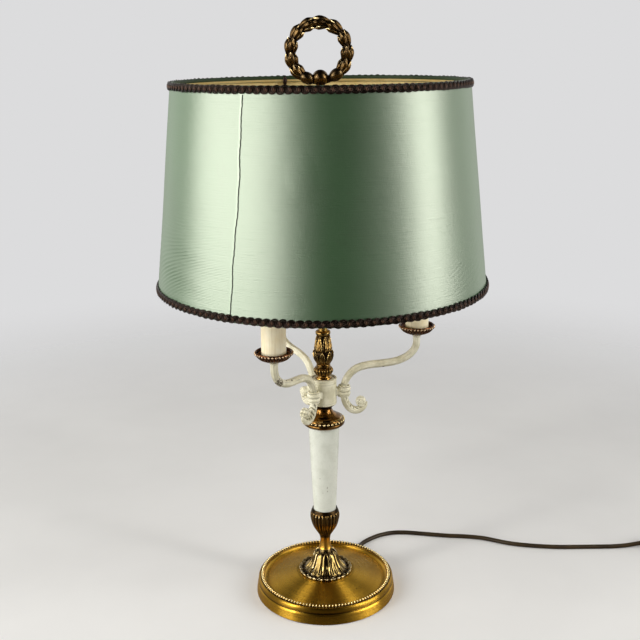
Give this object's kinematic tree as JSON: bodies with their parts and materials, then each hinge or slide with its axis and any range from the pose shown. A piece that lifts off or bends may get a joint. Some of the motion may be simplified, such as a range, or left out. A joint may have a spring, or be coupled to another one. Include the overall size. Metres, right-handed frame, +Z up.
{
  "type": "bouillotte table lamp",
  "caption": "Table lamp: weighted round foot, turned stem with painted column, scroll arms with candle sleeves, drum shade on a centre rod, wreath finial, mains lead with switch and plug.",
  "frame": {"origin": "centre of the foot, on the surface that the lamp stands on", "axes": "+Z up along the centre rod, -Y to the front, +X to the right, towards the arm whose candle is on the right"},
  "size_m": [0.76, 0.35, 0.6394],
  "materials": {
    "brass_satin": "satin, brushed in circles",
    "brass_polished": "polished, softly aged",
    "brass_antique": "antique brown brass",
    "brass_dark": "reddish brown patina",
    "ivory_paint": "aged ivory enamel, rubbed edges",
    "column_paint": "pale satin enamel, small chips",
    "candle_card": "cream satin sleeve",
    "bakelite": "black moulded phenolic",
    "bulb_glass": "frosted",
    "nickel": "nickel plated",
    "zinc_steel": "zinc plated",
    "frame_wire": "dark enamelled wire",
    "shade_satin": "green satin weave",
    "shade_lining": "beige laminated liner",
    "braid": "dark brown gimp with bronze threads",
    "cast_iron": "rough cast",
    "felt": "green baize",
    "lead_pvc": "olive brown",
    "switch_plastic": "brown moulding",
    "rocker_plastic": "gold coloured moulding"
  },
  "bodies": {
    "lamp_body": {"base_shell": "brass_satin", "base_bead_ring": "brass_satin", "base_weight": "cast_iron", "base_felt": "felt", "base_washer": "zinc_steel", "base_nut": "zinc_steel", "cord_bushing": "lead_pvc", "inner_cable": "lead_pvc", "tie_tube": "zinc_steel", "leaf_foot": "brass_polished", "foot_spool": "brass_polished", "fluted_cup": "brass_dark", "column": "column_paint", "column_cap": "brass_antique", "arm_hub": "ivory_paint", "hub_nut": "zinc_steel", "hub_lid": "ivory_paint", "arm_screws": "zinc_steel", "knop": "brass_antique", "baluster": "brass_antique", "shade_rod": "brass_polished", "arm_right": "ivory_paint", "arm_back_left": "ivory_paint", "arm_front_left": "ivory_paint", "arm_nipples": "zinc_steel", "drip_pan_right": "brass_dark", "drip_pan_back_left": "brass_dark", "drip_pan_front_left": "brass_dark", "lampholder_right": "bakelite", "lampholder_back_left": "bakelite", "lampholder_front_left": "bakelite", "sleeve_right": "candle_card", "sleeve_back_left": "candle_card", "sleeve_front_left": "candle_card", "bulb_right": "bulb_glass", "bulb_back_left": "bulb_glass", "bulb_front_left": "bulb_glass", "bulb_caps": "nickel", "cord_run": "lead_pvc", "switch_base": "switch_plastic", "switch_cover": "switch_plastic", "switch_screws": "zinc_steel", "cord_link": "lead_pvc", "cord_coil": "lead_pvc", "coil_tie": "bakelite", "cord_tail": "lead_pvc", "plug_body": "switch_plastic", "plug_pins": "nickel"},
    "shade_carrier": {"shade_carrier": "brass_polished"},
    "thumb_screw": {"thumb_screw": "brass_polished"},
    "shade": {"shade_spider": "frame_wire", "shade_top_ring": "frame_wire", "shade_bottom_ring": "frame_wire", "shade_cover": "shade_satin", "shade_lining": "shade_lining", "top_braid": "braid", "bottom_braid": "braid"},
    "finial": {"finial_ball": "brass_antique", "finial_wreath": "brass_antique"},
    "switch_rocker": {"switch_rocker": "rocker_plastic"}
  },
  "joints": [
    {"name": "shade_slide", "type": "slide", "parent": "lamp_body", "child": "shade_carrier", "axis": [0, 0, 1], "range_m": [-0.075, 0]},
    {"name": "shade_turn", "type": "hinge", "parent": "shade_carrier", "child": "shade", "pos_m": [0, 0, 0.565], "axis": [0, 0, 1], "continuous": true},
    {"name": "thumb_screw_turn", "type": "hinge", "parent": "shade_carrier", "child": "thumb_screw", "pos_m": [0, 0, 0.556], "axis": [-0.9703, 0.2419, 0], "range_deg": [0, 720]},
    {"name": "finial_turn", "type": "hinge", "parent": "lamp_body", "child": "finial", "pos_m": [0, 0, 0.5688], "axis": [0, 0, 1], "continuous": true},
    {"name": "switch_rocker_tilt", "type": "hinge", "parent": "lamp_body", "child": "switch_rocker", "pos_m": [0.445, 0.082, 0.012], "axis": [0, 1, 0], "range_deg": [0, 14]}
  ]
}
